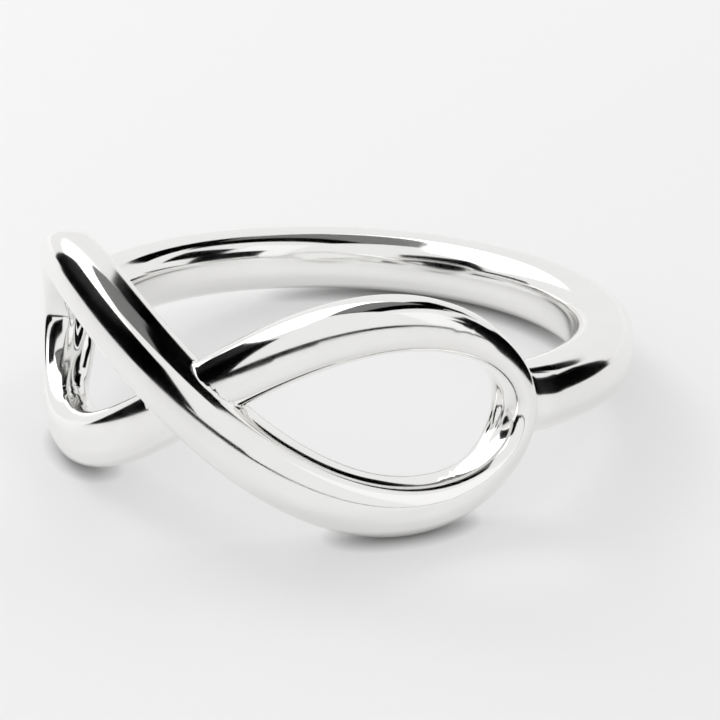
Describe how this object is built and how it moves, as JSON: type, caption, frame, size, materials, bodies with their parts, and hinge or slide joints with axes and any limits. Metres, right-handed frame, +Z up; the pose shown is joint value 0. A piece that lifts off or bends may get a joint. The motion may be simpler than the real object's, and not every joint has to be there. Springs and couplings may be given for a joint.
{
  "type": "infinity ring",
  "caption": "Polished silver finger ring: a plain round band whose front is an open figure of eight of crossing oval wire.",
  "frame": {"origin": "on the floor under the middle of the resting ring", "axes": "+Z up from the floor with the ring lying on its side, +X towards the right loop, -Y from the band towards the crossing of the two strands"},
  "size_m": [0.0218, 0.0218, 0.0084],
  "materials": {
    "polished_silver": "polished"
  },
  "bodies": {
    "root": {"infinity_ring": "polished_silver"}
  },
  "joints": []
}
